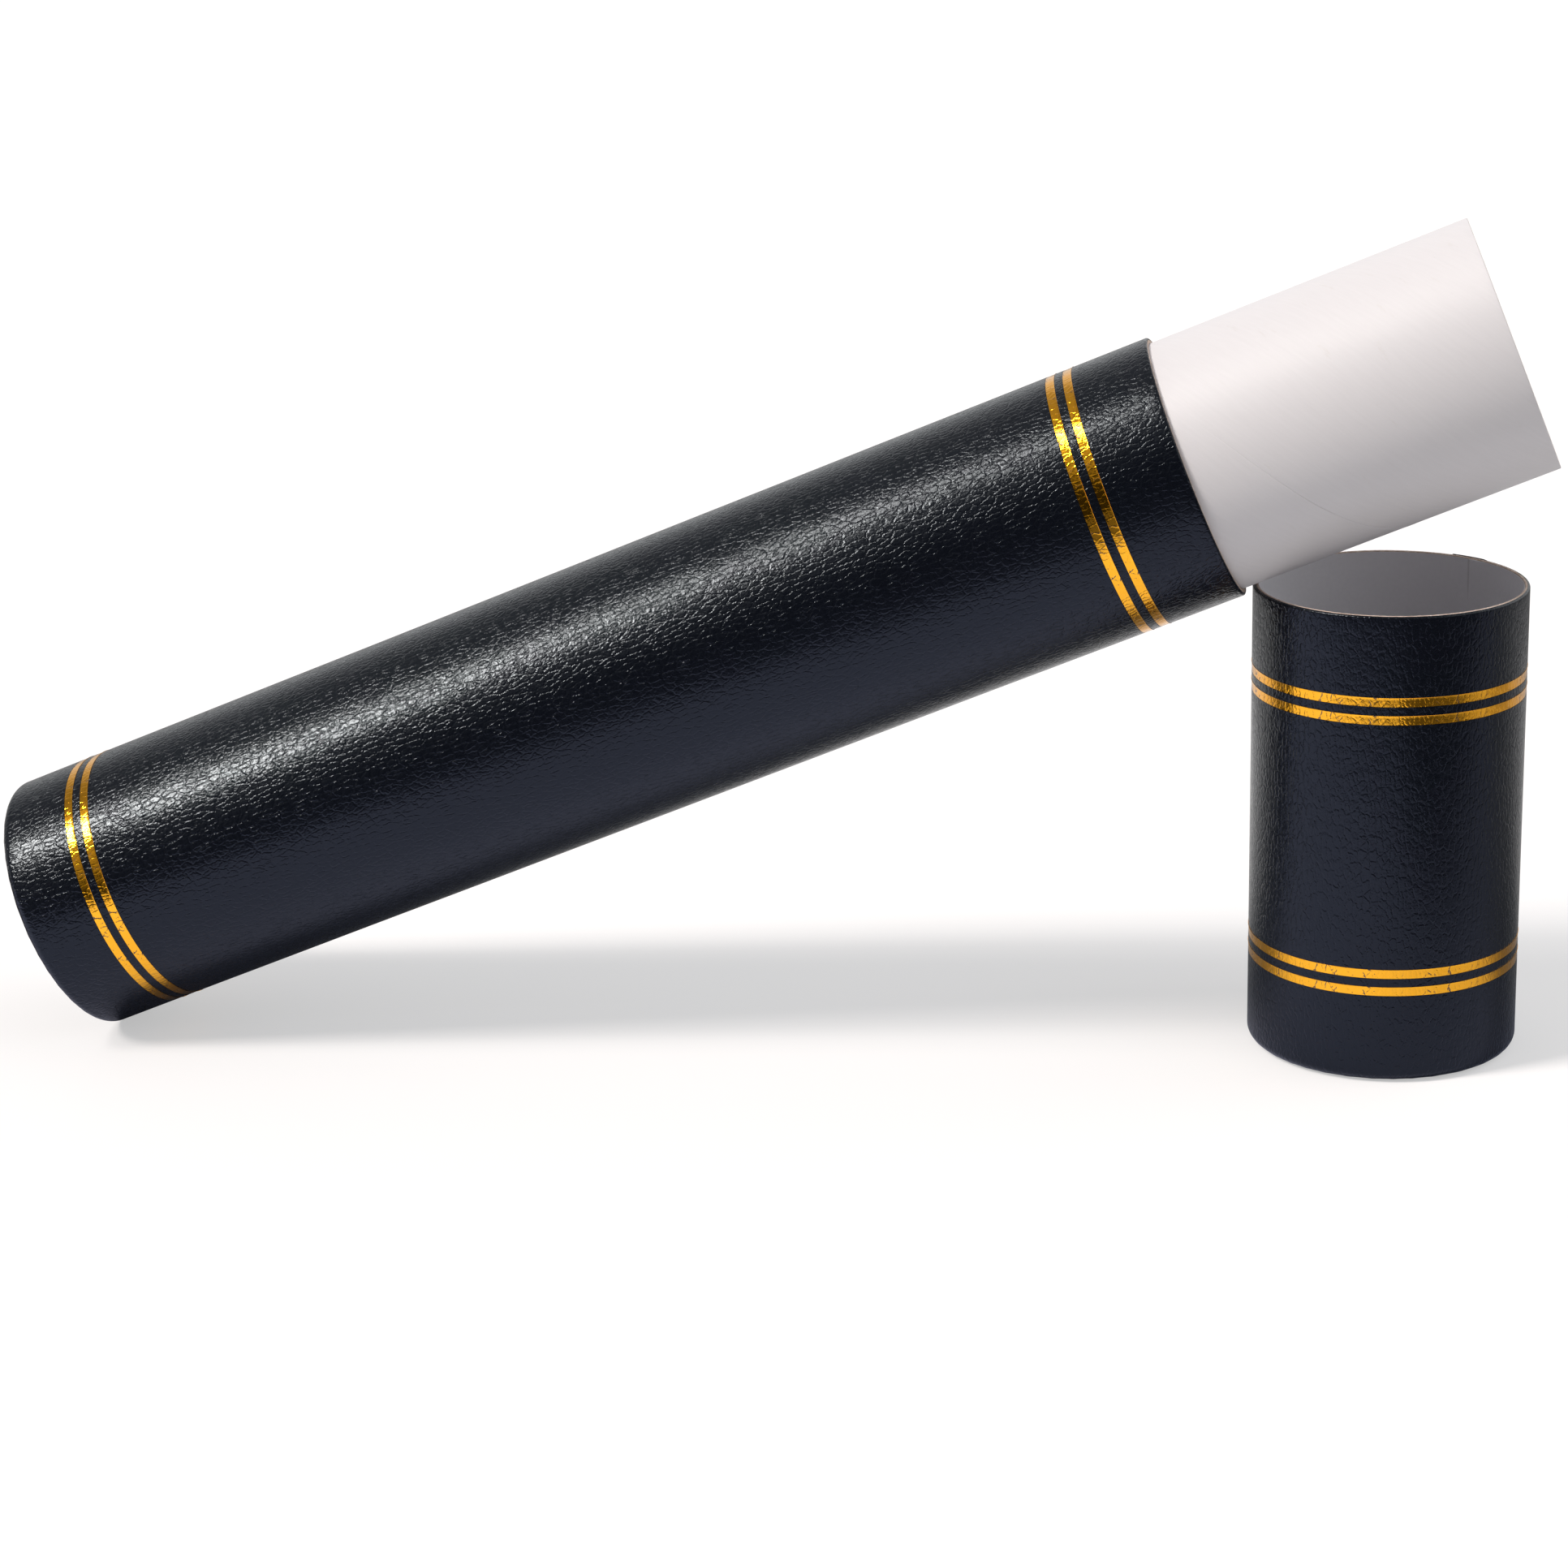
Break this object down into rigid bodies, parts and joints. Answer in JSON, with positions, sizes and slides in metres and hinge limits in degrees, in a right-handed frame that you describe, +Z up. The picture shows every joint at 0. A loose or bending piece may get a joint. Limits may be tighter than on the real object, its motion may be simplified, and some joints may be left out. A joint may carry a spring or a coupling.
{
  "type": "diploma tube",
  "caption": "Leatherette-covered round document tube leaning on its own upright cap, white neck exposed, paired gold stripes near each end.",
  "frame": {"origin": "on the table, under the middle of the bounding box of the leaning tube and the standing cap", "axes": "+Z up; +X runs from the body's closed end towards the neck's mouth and the cap; the tube's axis lies in the XZ plane and the cap's axis is upright in the same plane"},
  "size_m": [0.298, 0.051, 0.1574],
  "materials": {
    "leatherette": "navy-black embossed leatherette paper, satin with a pebbled grain",
    "gold_foil": "hot-stamped gold foil, glossy with fine cracks",
    "white_board": "smooth white wound board, slight sheen",
    "board": "raw tan board, matte",
    "lining_paper": "off-white lining paper, matte"
  },
  "bodies": {
    "root": {"body_board_tube": "board", "body_end_disc": "board", "body_leatherette_cover": "leatherette", "body_end_cover": "leatherette", "neck_tube": "white_board", "cap_board_tube": "board", "cap_end_disc": "board", "cap_leatherette_cover": "leatherette", "cap_end_cover": "leatherette", "cap_lining": "lining_paper", "body_gold_stripe_1": "gold_foil", "body_gold_stripe_2": "gold_foil", "body_gold_stripe_3": "gold_foil", "body_gold_stripe_4": "gold_foil", "cap_gold_stripe_1": "gold_foil", "cap_gold_stripe_2": "gold_foil", "cap_gold_stripe_3": "gold_foil", "cap_gold_stripe_4": "gold_foil"}
  },
  "joints": []
}
